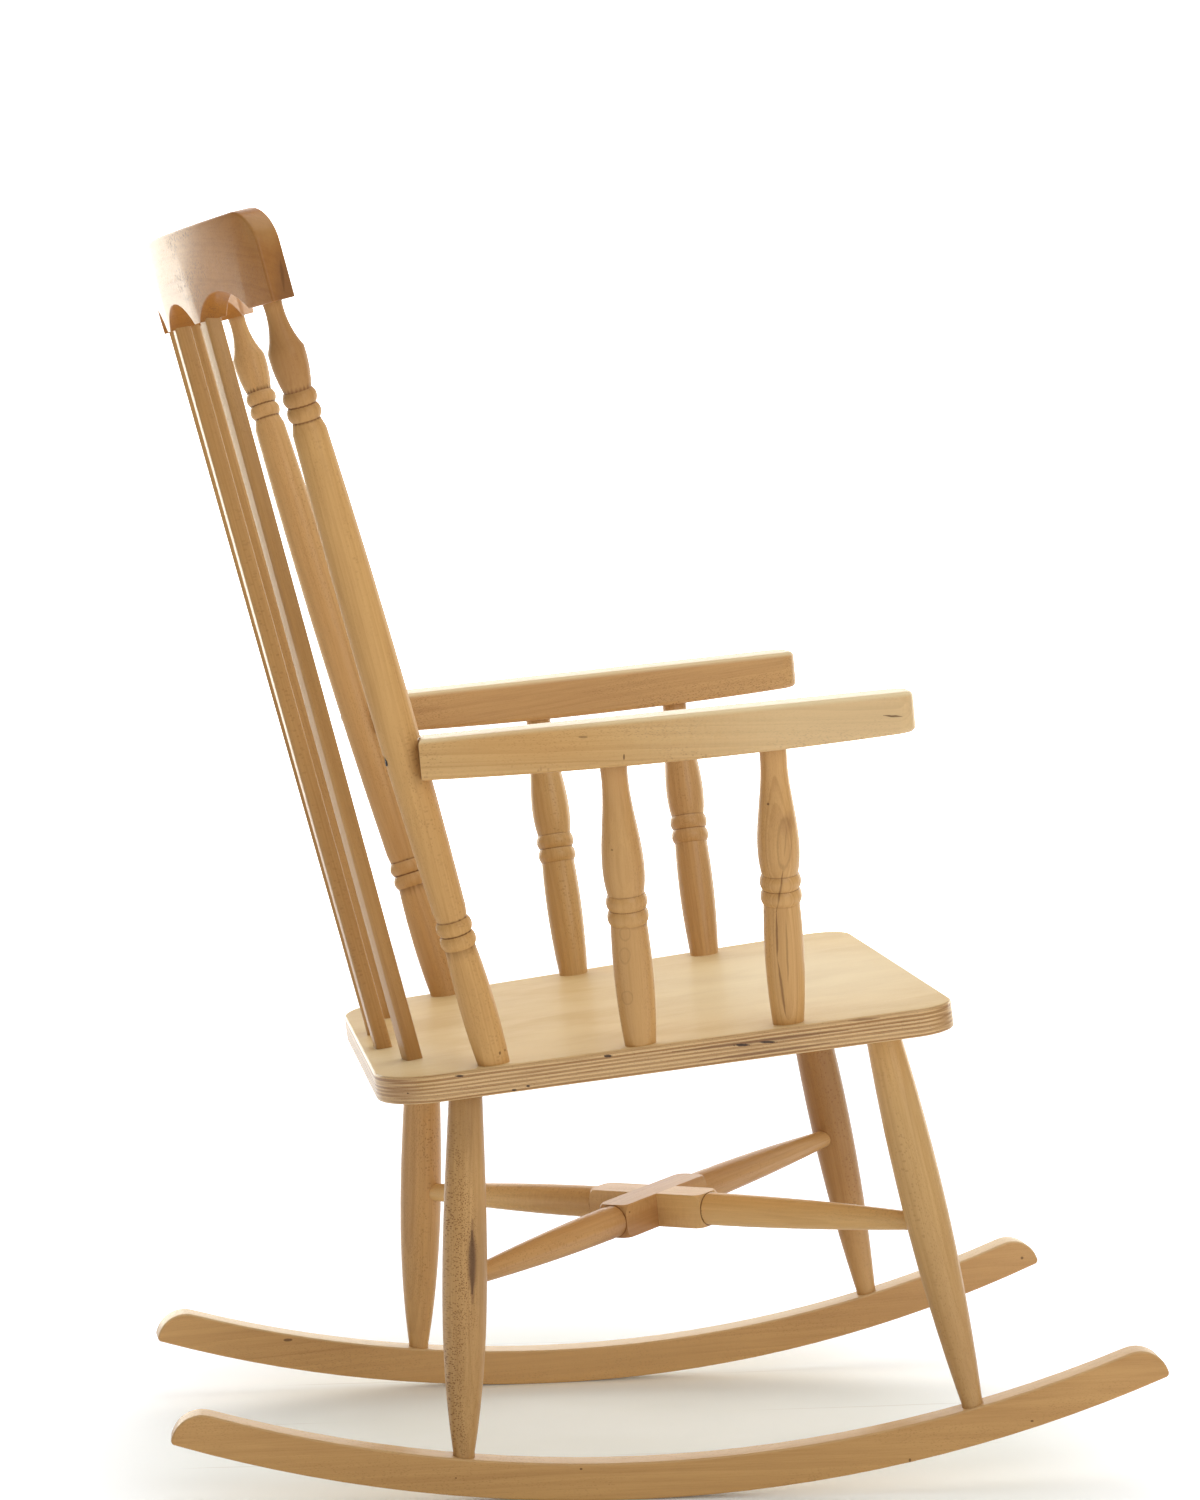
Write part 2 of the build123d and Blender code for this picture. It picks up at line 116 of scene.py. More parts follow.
# how much each feature counts for
beechShares = {"years": (0.4, 2.4), "lateWood": (0.85, 0.15), "fibres": (0.6, 0.4), "rayPatches": (0.8, 0.2),
               "clouds": 0.38, "rayDepth": 0.8}
beechRoughness = {"base": 0.38, "rays": 0.10, "fibres": 0.12}


def buildBeechFigure():
    tree, given, made = newGroup(
        "beechFigure", "ShaderNodeTree",
        [("Grain", "NodeSocketVector", None),
         ("Surface Normal", "NodeSocketVector", None),
         ("Along", "NodeSocketVector", (0, 0, 1)),
         ("Light Wood", "NodeSocketColor", (0.62, 0.360, 0.135, 1)),
         ("Dark Wood", "NodeSocketColor", (0.42, 0.215, 0.070, 1)),
         ("Fleck Colour", "NodeSocketColor", (0.22, 0.10, 0.035, 1)),
         ("Ring Width", "NodeSocketFloat", 0.0042),
         ("Ring Strength", "NodeSocketFloat", 0.22),
         ("Fibre Strength", "NodeSocketFloat", 0.30),
         ("Ray Strength", "NodeSocketFloat", 0.25),
         ("Ray Plates", "NodeSocketVector", (95, 400, 190)),
         ("Ray Share", "NodeSocketFloat", 0.5),
         ("End Strength", "NodeSocketFloat", 0.15)],
        [("Color", "NodeSocketColor"), ("Roughness", "NodeSocketFloat"),
         ("Height", "NodeSocketFloat"), ("Rays", "NodeSocketFloat")])
    grain = given.outputs["Grain"]
    bent = wander(tree, grain, beechGrain["bend"], beechGrain["bendReach"], 3.0)
    split = addNode(tree, "ShaderNodeSeparateXYZ", {0: bent})
    across = addNode(tree, "ShaderNodeCombineXYZ", {0: split.outputs[0], 1: split.outputs[1]}).outputs[0]
    radius = vectorMaths(tree, "LENGTH", across, output="Value")
    # years differ in width and in how dark they end
    years = maths(tree, "DIVIDE", radius, given.outputs["Ring Width"])
    pace = addNode(tree, "ShaderNodeTexNoise", {"W": maths(tree, "MULTIPLY", years, beechShares["years"][0]),
                                                   "Scale": 1.0},
                   noise_dimensions="1D").outputs["Fac"]
    years = maths(tree, "ADD", years, maths(tree, "MULTIPLY", pace, beechShares["years"][1]))
    ring = maths(tree, "FRACT", years)
    tone = addNode(tree, "ShaderNodeTexWhiteNoise", {"W": maths(tree, "FLOOR", years)},
                   noise_dimensions="1D").outputs["Value"]
    lateWood = maths(tree, "MULTIPLY", softStep(tree, ring, *beechSteps["lateWood"]),
                     softStep(tree, ring, *beechSteps["yearEnd"]))
    darkness = maths(tree, "MULTIPLY_ADD", tone, *beechShares["lateWood"])
    lateWood = maths(tree, "MULTIPLY", lateWood, darkness)
    # fibres: long thin streaks, then finer ones
    streaks = noise(tree, grain, beechGrain["streaks"], 3.0, 0.6)
    fineStreaks = noise(tree, grain, beechGrain["fineStreaks"], 2.0, 0.6)
    fibre = maths(tree, "ADD", maths(tree, "MULTIPLY", streaks, beechShares["fibres"][0]),
                  maths(tree, "MULTIPLY", fineStreaks, beechShares["fibres"][1]))
    # rays: thin plates that run outwards from the heart
    angle = maths(tree, "ARCTAN2", split.outputs[1], split.outputs[0])
    plates = addNode(tree, "ShaderNodeCombineXYZ", {0: angle, 1: split.outputs[2], 2: radius}).outputs[0]
    plates = vectorMaths(tree, "MULTIPLY", plates, given.outputs["Ray Plates"])
    cells = addNode(tree, "ShaderNodeTexVoronoi", {"Vector": plates, "Scale": 1.0, "Randomness": 1.0})
    pick = addNode(tree, "ShaderNodeSeparateColor", {0: cells.outputs["Color"]}).outputs[0]
    pick = maths(tree, "ADD", pick, given.outputs["Ray Share"])
    rays = maths(tree, "MULTIPLY", softStep(tree, cells.outputs["Distance"], *beechSteps["rayPlates"]),
                 softStep(tree, pick, *beechSteps["rayPick"]))
    patches = softStep(tree, noise(tree, grain, beechGrain["rayPatches"]), *beechSteps["rayPatches"])
    rays = maths(tree, "MULTIPLY", rays, maths(tree, "MULTIPLY_ADD", patches, *beechShares["rayPatches"]))
    # colour
    cloud = softStep(tree, noise(tree, grain, beechGrain["clouds"], 3.0), *beechSteps["clouds"])
    shade = maths(tree, "MULTIPLY", lateWood, given.outputs["Ring Strength"])
    shade = maths(tree, "ADD", shade, maths(tree, "MULTIPLY", cloud, beechShares["clouds"]))
    fibreShade = maths(tree, "MULTIPLY", softStep(tree, fibre, *beechSteps["fibres"]),
                       given.outputs["Fibre Strength"])
    shade = maths(tree, "ADD", shade, fibreShade, clamp=True)
    colour = mixColours(tree, shade, given.outputs["Light Wood"], given.outputs["Dark Wood"])
    shown = maths(tree, "MULTIPLY", rays, given.outputs["Ray Strength"], clamp=True)
    tree.links.new(shown, made.inputs["Rays"])
    colour = mixColours(tree, shown, colour, given.outputs["Fleck Colour"])
    # end grain drinks more lacquer and looks darker
    ends = vectorMaths(tree, "DOT_PRODUCT", given.outputs["Surface Normal"], given.outputs["Along"],
                       output="Value")
    ends = maths(tree, "MULTIPLY", softStep(tree, maths(tree, "ABSOLUTE", ends), *beechSteps["ends"]),
                 given.outputs["End Strength"])
    colour = mixColours(tree, ends, colour, given.outputs["Fleck Colour"])
    tree.links.new(colour, made.inputs["Color"])
    rough = maths(tree, "MULTIPLY_ADD", rays, beechRoughness["rays"], beechRoughness["base"])
    rough = maths(tree, "MULTIPLY_ADD", fibre, beechRoughness["fibres"], rough)
    tree.links.new(rough, made.inputs["Roughness"])
    height = maths(tree, "SUBTRACT", fineStreaks, maths(tree, "MULTIPLY", rays, beechShares["rayDepth"]))
    tree.links.new(height, made.inputs["Height"])
    return tree


zoneLook = {"edge": (420, 420, 160), "hollow": (0.92, 0.66)}


# how near a place is to a centre, with a ragged edge
def buildSoftZone():
    tree, given, made = newGroup(
        "softZone", "ShaderNodeTree",
        [("Centre", "NodeSocketVector", None),
         ("Size", "NodeSocketVector", (0.004, 0.004, 0.004)),
         ("Hollow", "NodeSocketFloat", 0.0),
         ("Ragged", "NodeSocketFloat", 0.3),
         ("Core", "NodeSocketFloat", 0.72)],
        [("Mask", "NodeSocketFloat")])
    place = addNode(tree, "ShaderNodeTexCoord").outputs["Object"]
    offset = vectorMaths(tree, "SUBTRACT", place, given.outputs["Centre"])
    scaled = vectorMaths(tree, "DIVIDE", offset, given.outputs["Size"])
    reach = vectorMaths(tree, "LENGTH", scaled, output="Value")
    edge = noise(tree, place, zoneLook["edge"], 3.0)
    edge = maths(tree, "MULTIPLY", maths(tree, "SUBTRACT", edge, 0.5), given.outputs["Ragged"])
    reach = maths(tree, "ADD", reach, edge)
    inside = softStep(tree, reach, 1.0, given.outputs["Core"])
    core = maths(tree, "MULTIPLY", softStep(tree, reach, *zoneLook["hollow"]), given.outputs["Hollow"])
    tree.links.new(maths(tree, "SUBTRACT", inside, core, clamp=True), made.inputs["Mask"])
    return tree


# a line bends a little, narrows at its start and its end, and takes little note of depth
lineLook = {"bend": (150, 150, 90), "depth": (1, 0.15, 1), "start": (0.0, 0.4), "end": (1.0, 0.6),
            "narrowest": 0.35, "edge": (1.0, 0.2)}


# how near a place is to a straight line between two points
def buildWoodLine():
    tree, given, made = newGroup(
        "woodLine", "ShaderNodeTree",
        [("Start", "NodeSocketVector", None), ("End", "NodeSocketVector", None),
         ("Width", "NodeSocketFloat", 0.0015), ("Ragged", "NodeSocketFloat", 0.0012)],
        [("Mask", "NodeSocketFloat")])
    place = addNode(tree, "ShaderNodeTexCoord").outputs["Object"]
    reach = given.outputs["Ragged"]
    spread = addNode(tree, "ShaderNodeCombineXYZ", {0: reach, 1: 0.0, 2: reach}).outputs[0]
    bent = wander(tree, place, lineLook["bend"], spread, 3.0)
    span = vectorMaths(tree, "SUBTRACT", given.outputs["End"], given.outputs["Start"])
    offset = vectorMaths(tree, "SUBTRACT", bent, given.outputs["Start"])
    share = maths(tree, "DIVIDE", vectorMaths(tree, "DOT_PRODUCT", offset, span, output="Value"),
                  vectorMaths(tree, "DOT_PRODUCT", span, span, output="Value"), clamp=True)
    foot = addNode(tree, "ShaderNodeVectorMath", {0: span, "Scale": share},
                   operation="SCALE").outputs["Vector"]
    away = vectorMaths(tree, "MULTIPLY", vectorMaths(tree, "SUBTRACT", offset, foot), lineLook["depth"])
    distance = vectorMaths(tree, "LENGTH", away, output="Value")
    taper = maths(tree, "MULTIPLY", softStep(tree, share, *lineLook["start"]),
                  softStep(tree, share, *lineLook["end"]))
    taper = maths(tree, "ADD", lineLook["narrowest"], taper)
    width = maths(tree, "MULTIPLY", given.outputs["Width"], taper)
    mask = softStep(tree, maths(tree, "DIVIDE", distance, width), *lineLook["edge"])
    tree.links.new(mask, made.inputs["Mask"])
    return tree


# changes in a metre along, across and down the board, and how far the broad bands bend
plywoodGrain = {"waver": (9, 9, 130), "bend": (6, 12, 5), "bendReach": (0.12, 0.06, 0), "bands": (7, 13, 6),
                "lines": (16, 420, 30), "edgeLines": (22, 22, 1500), "pores": (900, 900, 900),
                "glueFade": (13, 13, 260)}
plywoodSteps = {"odd": (0.4, 0.6), "figure": (0.38, 0.66), "ends": (0.25, 0.85), "edgeLines": (0.50, 0.72),
                "pores": (0.55, 0.75), "glueFade": (0.36, 0.60), "glue": (0.36, 0.5), "face": (0.72, 0.97)}
plywoodShares = {"waver": 0.0018, "bands": 0.8, "lines": 0.2, "plies": (0.7, 0.3), "edgeLines": 0.55,
                 "pores": 0.25, "glue": 0.4, "lineHeight": 0.3, "roughness": (0.12, 0.52)}


# plies of the seat, counted down from its top face, with end grain darker than long grain
def buildPlywoodFigure():
    tree, given, made = newGroup(
        "plywoodFigure", "ShaderNodeTree",
        [("Board", "NodeSocketVector", None),
         ("Board Normal", "NodeSocketVector", None),
         ("Veneer", "NodeSocketColor", (0.73, 0.530, 0.265, 1)),
         ("Veneer Shade", "NodeSocketColor", (0.64, 0.430, 0.190, 1)),
         ("Long Grain", "NodeSocketColor", (0.66, 0.43, 0.20, 1)),
         ("End Grain", "NodeSocketColor", (0.33, 0.165, 0.060, 1)),
         ("Glue", "NodeSocketColor", (0.13, 0.060, 0.024, 1)),
         ("Ply Thickness", "NodeSocketFloat", 0.0017)],
        [("Color", "NodeSocketColor"), ("Roughness", "NodeSocketFloat"),
         ("Height", "NodeSocketFloat"), ("Edge", "NodeSocketFloat")])
    board = given.outputs["Board"]
    # the plies are not quite level or even
    waver = noise(tree, board, plywoodGrain["waver"], 2.0)
    depth = addNode(tree, "ShaderNodeSeparateXYZ", {0: board}).outputs[2]
    depth = maths(tree, "SUBTRACT", maths(tree, "MULTIPLY", waver, plywoodShares["waver"]), depth)
    count = maths(tree, "DIVIDE", depth, given.outputs["Ply Thickness"])
    layer = maths(tree, "FLOOR", count)
    tone = addNode(tree, "ShaderNodeTexWhiteNoise", {"W": layer}, noise_dimensions="1D").outputs["Value"]
    odd = maths(tree, "MODULO", maths(tree, "ABSOLUTE", layer), 2.0)
    odd = softStep(tree, odd, *plywoodSteps["odd"])
    facing = addNode(tree, "ShaderNodeSeparateXYZ", {0: given.outputs["Board Normal"]})
    facesFront = maths(tree, "ABSOLUTE", facing.outputs[0])
    facesSide = maths(tree, "ABSOLUTE", facing.outputs[1])
    ends = addNode(tree, "ShaderNodeMix", {0: odd, 2: facesFront, 3: facesSide}, data_type="FLOAT").outputs[0]
    # broad faces: slow bands and fine lines that run from front to back
    bent = wander(tree, board, plywoodGrain["bend"], plywoodGrain["bendReach"], 3.0)
    bands = noise(tree, bent, plywoodGrain["bands"], 4.0, 0.55)
    lines = noise(tree, board, plywoodGrain["lines"], 3.0, 0.6)
    figure = maths(tree, "ADD", maths(tree, "MULTIPLY", bands, plywoodShares["bands"]),
                   maths(tree, "MULTIPLY", lines, plywoodShares["lines"]))
    face = mixColours(tree, softStep(tree, figure, *plywoodSteps["figure"]), given.outputs["Veneer"],
                      given.outputs["Veneer Shade"])
    # edges: each ply has its own darkness, with lines that come and go
    edgeLines = noise(tree, board, plywoodGrain["edgeLines"], 3.0, 0.6)
    pores = noise(tree, board, plywoodGrain["pores"], 1.0)
    darkness = maths(tree, "MULTIPLY", softStep(tree, ends, *plywoodSteps["ends"]),
                     maths(tree, "MULTIPLY_ADD", tone, *plywoodShares["plies"]))
    edgeLines = maths(tree, "MULTIPLY", softStep(tree, edgeLines, *plywoodSteps["edgeLines"]),
                      plywoodShares["edgeLines"])
    darkness = maths(tree, "ADD", darkness, edgeLines, clamp=True)
    edge = mixColours(tree, darkness, given.outputs["Long Grain"], given.outputs["End Grain"])
    poreShade = maths(tree, "MULTIPLY", softStep(tree, pores, *plywoodSteps["pores"]),
                      plywoodShares["pores"])
    edge = mixColours(tree, poreShade, edge, given.outputs["Glue"])
    within = maths(tree, "FRACT", count)
    fade = noise(tree, board, plywoodGrain["glueFade"], 2.0)
    fade = maths(tree, "MULTIPLY", softStep(tree, fade, *plywoodSteps["glueFade"]), plywoodShares["glue"])
    glue = maths(tree, "ABSOLUTE", maths(tree, "SUBTRACT", within, 0.5))
    glue = maths(tree, "MULTIPLY", softStep(tree, glue, *plywoodSteps["glue"]), fade)
    edge = mixColours(tree, glue, edge, given.outputs["Glue"])
    flat = softStep(tree, maths(tree, "ABSOLUTE", facing.outputs[2]), *plywoodSteps["face"])
    tree.links.new(mixColours(tree, flat, edge, face), made.inputs["Color"])
    tree.links.new(maths(tree, "SUBTRACT", 1.0, flat), made.inputs["Edge"])
    rough = maths(tree, "MULTIPLY_ADD", pores, *plywoodShares["roughness"])
    tree.links.new(rough, made.inputs["Roughness"])
    height = maths(tree, "SUBTRACT", maths(tree, "MULTIPLY", lines, plywoodShares["lineHeight"]), glue)
    tree.links.new(height, made.inputs["Height"])
    return tree


beechFigure = buildBeechFigure()
softZone = buildSoftZone()
woodLine = buildWoodLine()
plywoodFigure = buildPlywoodFigure()

lacquer = {"Coat Weight": 0.25, "Coat Roughness": 0.2, "Coat IOR": 1.45, "Specular IOR Level": 0.15}
grainBump = {"strength": 0.25, "beech": 0.0003, "plywood": 0.0005}
paintedGrooveShade = {"colour": (0.13, 0.055, 0.018, 1), "strength": 0.8, "angles": (0.04, 0.30)}
flecks = {"ragged": 0.8, "outside": 0.15}
plainPiece = {"through": (0, 1, 0), "turn": 0, "tint": {}, "polish": 1.0, "gloss": 1.0, "marks": ()}
plainMark = {"hollow": 0.0, "core": 0.72, "strength": 0.7, "colour": (0.07, 0.028, 0.010, 1)}


def lacqueredMaterial(name):
    material = bpy.data.materials.new(name)
    material.use_nodes = True
    tree = material.node_tree
    shader = tree.nodes["Principled BSDF"]
    for label, value in lacquer.items():
        shader.inputs[label].default_value = value
    return material, tree, shader


def finishSurface(tree, shader, colour, roughness, height, distance):
    tree.links.new(colour, shader.inputs["Base Color"])
    tree.links.new(roughness, shader.inputs["Roughness"])
    bump = addNode(tree, "ShaderNodeBump", {"Height": height, "Strength": grainBump["strength"],
                                            "Distance": distance})
    tree.links.new(bump.outputs["Normal"], shader.inputs["Normal"])


# marks are spots, rings and lines in the wood, and broad soft zones of darker or paler colour, many of them
# painted light and shade; a fleck zone is where the rays show strongly; polish scales the roughness and gloss
# the shine
def makeBeech(name, along, piece):
    material, tree, shader = lacqueredMaterial(name)
    for label in ("Coat Weight", "Specular IOR Level"):
        shader.inputs[label].default_value = lacquer[label] * piece["gloss"]
    grain = addNode(tree, "ShaderNodeAttribute", attribute_name="grain").outputs["Vector"]
    normal = addNode(tree, "ShaderNodeTexCoord").outputs["Normal"]
    figure = addGroup(tree, beechFigure, {"Grain": grain, "Surface Normal": normal, "Along": along,
                                          **piece["tint"]})
    if "fleckZone" in piece:
        fleckZone = piece["fleckZone"]
        zone = addGroup(tree, softZone, {"Centre": fleckZone["centre"], "Size": fleckZone["size"],
                                         "Ragged": flecks["ragged"]})
        strength = maths(tree, "MULTIPLY_ADD", zone.outputs[0], fleckZone["strength"], flecks["outside"])
        tree.links.new(strength, figure.inputs["Ray Strength"])
        # the rays break the lacquer's shine
        coat = lacquer["Coat Weight"]
        shine = maths(tree, "MULTIPLY_ADD", figure.outputs["Rays"], -coat, coat, clamp=True)
        tree.links.new(shine, shader.inputs["Coat Weight"])
    # darker in hollow corners: painted shade in the grooves, with the lacquer that pools there
    hollow = addNode(tree, "ShaderNodeAttribute", attribute_name="hollow").outputs["Fac"]
    grooveShadeMask = softStep(tree, hollow, *paintedGrooveShade["angles"])
    colour = mixColours(tree, maths(tree, "MULTIPLY", grooveShadeMask, paintedGrooveShade["strength"]),
                        figure.outputs["Color"], paintedGrooveShade["colour"])
    # upward faces are painted paler: a painted sheen where the light from above falls on the tops
    if "topSheen" in piece:
        topSheen = piece["topSheen"]
        upward = addNode(tree, "ShaderNodeSeparateXYZ", {0: normal}).outputs[2]
        amount = maths(tree, "MULTIPLY", softStep(tree, upward, *topSheen["slopes"]), topSheen["strength"])
        colour = mixColours(tree, amount, colour, topSheen["colour"])
    for mark in piece["marks"]:
        mark = {**plainMark, **mark}
        if "from" in mark:
            spot = addGroup(tree, woodLine, {"Start": mark["from"], "End": mark["to"],
                                             "Width": mark["width"]})
        else:
            spot = addGroup(tree, softZone, {"Centre": mark["at"], "Size": mark["size"],
                                             "Hollow": mark["hollow"], "Core": mark["core"]})
        amount = maths(tree, "MULTIPLY", spot.outputs[0], mark["strength"])
        colour = mixColours(tree, amount, colour, mark["colour"])
    roughness = maths(tree, "MULTIPLY", figure.outputs["Roughness"], piece["polish"])
    finishSurface(tree, shader, colour, roughness, figure.outputs["Height"], grainBump["beech"])
    return material


seatBoard = {"height": 0.3865, "slope": 7.5, "plyThickness": 0.0017, "specular": 0.12,
             "voidColour": (0.03, 0.014, 0.008, 1), "streakColour": (0.17, 0.070, 0.025, 1),
             "paintedSheenColour": (0.88, 0.78, 0.56, 1), "paintedSheenCore": 0.1, "streakRagged": 0.0008,
             "voidRagged": 0.9, "voidStrength": 0.9, "coat": (0.5, 0.05)}

# small voids between the plies along the seat's edge
seatVoids = [
    {"at": (-0.1257, -0.2172, 0.3662), "size": (0.0040, 0.004, 0.0010)},
    {"at": (-0.1677, -0.2080, 0.3502), "size": (0.0025, 0.004, 0.0009)},
    {"at": (-0.0012, -0.2269, 0.3824), "size": (0.0042, 0.004, 0.0015)},
    {"at": (-0.0797, -0.2206, 0.3540), "size": (0.0026, 0.004, 0.0012)},
    {"at": (-0.0680, -0.2215, 0.3573), "size": (0.0018, 0.004, 0.0009)},
    {"at": (0.1113, -0.2356, 0.3911), "size": (0.0075, 0.004, 0.0013)},
    {"at": (0.1330, -0.2374, 0.3935), "size": (0.0090, 0.004, 0.0011)},
]

# darker strips in the plies of the seat's edge
edgeStreaks = [
    {"from": (0.0525, -0.2310, 0.3855), "to": (0.2006, -0.2426, 0.4034), "width": 0.0018, "strength": 0.7},
    {"from": (0.0761, -0.2328, 0.3777), "to": (0.1855, -0.2413, 0.3924), "width": 0.0016, "strength": 0.65},
    {"from": (0.2005, -0.2425, 0.4111), "to": (0.2275, -0.2447, 0.4135), "width": 0.0012, "strength": 0.6},
    {"from": (0.2453, -0.2460, 0.4100), "to": (0.2900, -0.2310, 0.4172), "width": 0.0013, "strength": 0.5},
]

# painted sheen on the face veneer, paler towards the front and near the rear corner
paintedSheenPatches = [
    {"at": (0.20, 0.00, 0.413), "size": (0.20, 0.34, 0.10), "strength": 0.40},
    {"at": (-0.17, -0.12, 0.365), "size": (0.07, 0.12, 0.05), "strength": 0.35},
]


def makePlywood():
    material, tree, shader = lacqueredMaterial("seatPlywood")
    place = addNode(tree, "ShaderNodeTexCoord")
    slope = math.radians(seatBoard["slope"])
    lowered = vectorMaths(tree, "SUBTRACT", place.outputs["Object"], (0, 0, seatBoard["height"]))
    board, normal = [
        addNode(tree, "ShaderNodeVectorRotate", {"Vector": source, "Angle": slope},
                rotation_type="Y_AXIS").outputs[0]
        for source in (lowered, place.outputs["Normal"])]
    figure = addGroup(tree, plywoodFigure, {"Board": board, "Board Normal": normal,
                                            "Ply Thickness": seatBoard["plyThickness"]})
    colour = figure.outputs["Color"]
    face = maths(tree, "SUBTRACT", 1.0, figure.outputs["Edge"])
    # painted sheen on the broad face, kept off the edges
    for patch in paintedSheenPatches:
        spot = addGroup(tree, softZone, {"Centre": patch["at"], "Size": patch["size"],
                                         "Core": seatBoard["paintedSheenCore"]})
        amount = maths(tree, "MULTIPLY", spot.outputs[0], maths(tree, "MULTIPLY", face, patch["strength"]))
        colour = mixColours(tree, amount, colour, seatBoard["paintedSheenColour"])
    for streak in edgeStreaks:
        line = addGroup(tree, woodLine, {"Start": streak["from"], "End": streak["to"],
                                         "Width": streak["width"], "Ragged": seatBoard["streakRagged"]})
        colour = mixColours(tree, maths(tree, "MULTIPLY", line.outputs[0], streak["strength"]), colour,
                            seatBoard["streakColour"])
    for void in seatVoids:
        spot = addGroup(tree, softZone, {"Centre": void["at"], "Size": void["size"],
                                         "Ragged": seatBoard["voidRagged"]})
        amount = maths(tree, "MULTIPLY", spot.outputs[0], seatBoard["voidStrength"])
        colour = mixColours(tree, amount, colour, seatBoard["voidColour"])
    finishSurface(tree, shader, colour, figure.outputs["Roughness"], figure.outputs["Height"],
                  grainBump["plywood"])
    # the edge shines more than the broad faces
    coat = maths(tree, "MULTIPLY_ADD", figure.outputs["Edge"], *seatBoard["coat"])
    tree.links.new(coat, shader.inputs["Coat Weight"])
    shader.inputs["Specular IOR Level"].default_value = seatBoard["specular"]
    return material


screwFinish = {"dark": (0.035, 0.032, 0.03, 1), "worn": (0.20, 0.18, 0.16, 1), "metallic": 0.9,
               "wear": (900, 900, 900), "wearSteps": (0.45, 0.7), "roughness": (0.3, 0.25)}


def makeBlackSteel():
    material = bpy.data.materials.new("blackSteel")
    material.use_nodes = True
    tree = material.node_tree
    shader = tree.nodes["Principled BSDF"]
    place = addNode(tree, "ShaderNodeTexCoord").outputs["Object"]
    wear = noise(tree, place, screwFinish["wear"], 3.0)
    colour = mixColours(tree, softStep(tree, wear, *screwFinish["wearSteps"]), screwFinish["dark"],
                        screwFinish["worn"])
    tree.links.new(colour, shader.inputs["Base Color"])
    rough = maths(tree, "MULTIPLY_ADD", wear, *screwFinish["roughness"])
    tree.links.new(rough, shader.inputs["Roughness"])
    shader.inputs["Metallic"].default_value = screwFinish["metallic"]
    return material


plywood = makePlywood()
blackSteel = makeBlackSteel()
print("materials ready")


# dressing a piece: join its faces, smooth the curves, note where it lay in the tree

dressing = {"mergeDistance": 0.000002, "creaseAngle": 0.55}


def buildDressTree():
    tree, given, made = newGroup(
        "dressPiece", "GeometryNodeTree",
        [("Geometry", "NodeSocketGeometry", None),
         ("Crease Angle", "NodeSocketFloat", dressing["creaseAngle"]),
         ("Origin", "NodeSocketVector", None),
         ("Across", "NodeSocketVector", (1, 0, 0)),
         ("Through", "NodeSocketVector", (0, 1, 0)),
         ("Along", "NodeSocketVector", (0, 0, 1)),
         ("Heart", "NodeSocketVector", None),
         ("Material", "NodeSocketMaterial", None)],
        [("Geometry", "NodeSocketGeometry")])
    merged = addNode(tree, "GeometryNodeMergeByDistance", {
        "Geometry": given.outputs["Geometry"], "Distance": dressing["mergeDistance"]})
    smooth = addNode(tree, "GeometryNodeSetShadeSmooth", {
        "Geometry": merged.outputs[0], "Shade Smooth": True}, domain="FACE")
    corner = addNode(tree, "GeometryNodeInputMeshEdgeAngle").outputs["Unsigned Angle"]
    sharp = addNode(tree, "FunctionNodeCompare", {0: corner, 1: given.outputs["Crease Angle"]},
                    data_type="FLOAT", operation="GREATER_THAN")
    creased = addNode(tree, "GeometryNodeSetShadeSmooth", {
        "Geometry": smooth.outputs[0], "Selection": sharp.outputs[0], "Shade Smooth": False}, domain="EDGE")
    place = addNode(tree, "GeometryNodeInputPosition").outputs[0]
    offset = vectorMaths(tree, "SUBTRACT", place, given.outputs["Origin"])
    parts = [vectorMaths(tree, "DOT_PRODUCT", offset, given.outputs[label], output="Value")
             for label in ("Across", "Through", "Along")]
    local = addNode(tree, "ShaderNodeCombineXYZ", {0: parts[0], 1: parts[1], 2: parts[2]}).outputs[0]
    grain = vectorMaths(tree, "ADD", local, given.outputs["Heart"])
    stored = addNode(tree, "GeometryNodeStoreNamedAttribute", {
        "Geometry": creased.outputs[0], "Name": "grain"}, data_type="FLOAT_VECTOR", domain="POINT")
    tree.links.new(grain, stored.inputs["Value"])
    # hollow corners, such as the grooves between turned beads, hold more lacquer, and the wood is painted
    # darker there as painted shade
    bend = addNode(tree, "GeometryNodeInputMeshEdgeAngle").outputs["Signed Angle"]
    hollows = addNode(tree, "GeometryNodeStoreNamedAttribute", {
        "Geometry": stored.outputs[0], "Name": "hollow"}, data_type="FLOAT", domain="POINT")
    tree.links.new(maths(tree, "MULTIPLY", bend, -1.0), hollows.inputs["Value"])
    whole = addNode(tree, "GeometryNodeRealizeInstances", {"Geometry": hollows.outputs[0]})
    painted = addNode(tree, "GeometryNodeSetMaterial", {
        "Geometry": whole.outputs[0], "Material": given.outputs["Material"]})
    tree.links.new(painted.outputs[0], made.inputs["Geometry"])
    return tree


dressTree = buildDressTree()


def setModifierInput(modifier, label, value):
    for item in modifier.node_group.interface.items_tree:
        if item.name == label and item.in_out == "INPUT":
            modifier[item.identifier] = value


# the fibres follow the longest direction of a piece, or run off it by a turn in degrees
def pieceAxes(source, through, turn):
    co = np.empty(len(source.data.vertices) * 3)
    source.data.vertices.foreach_get("co", co)
    co = co.reshape(-1, 3)
    middle = (co.min(0) + co.max(0)) / 2
    along = Vector(np.linalg.eigh(np.cov((co - middle).T))[1][:, 2])
    # the direction points up, or to the front or left on a level piece
    if along.dot(Vector((0.3, 0.2, 1))) < 0:
        along = -along
    through = Vector(through)
    through = (through - along * through.dot(along)).normalized()
    along = Matrix.Rotation(math.radians(turn), 3, through) @ along
    return Vector(middle), through.cross(along), through, along


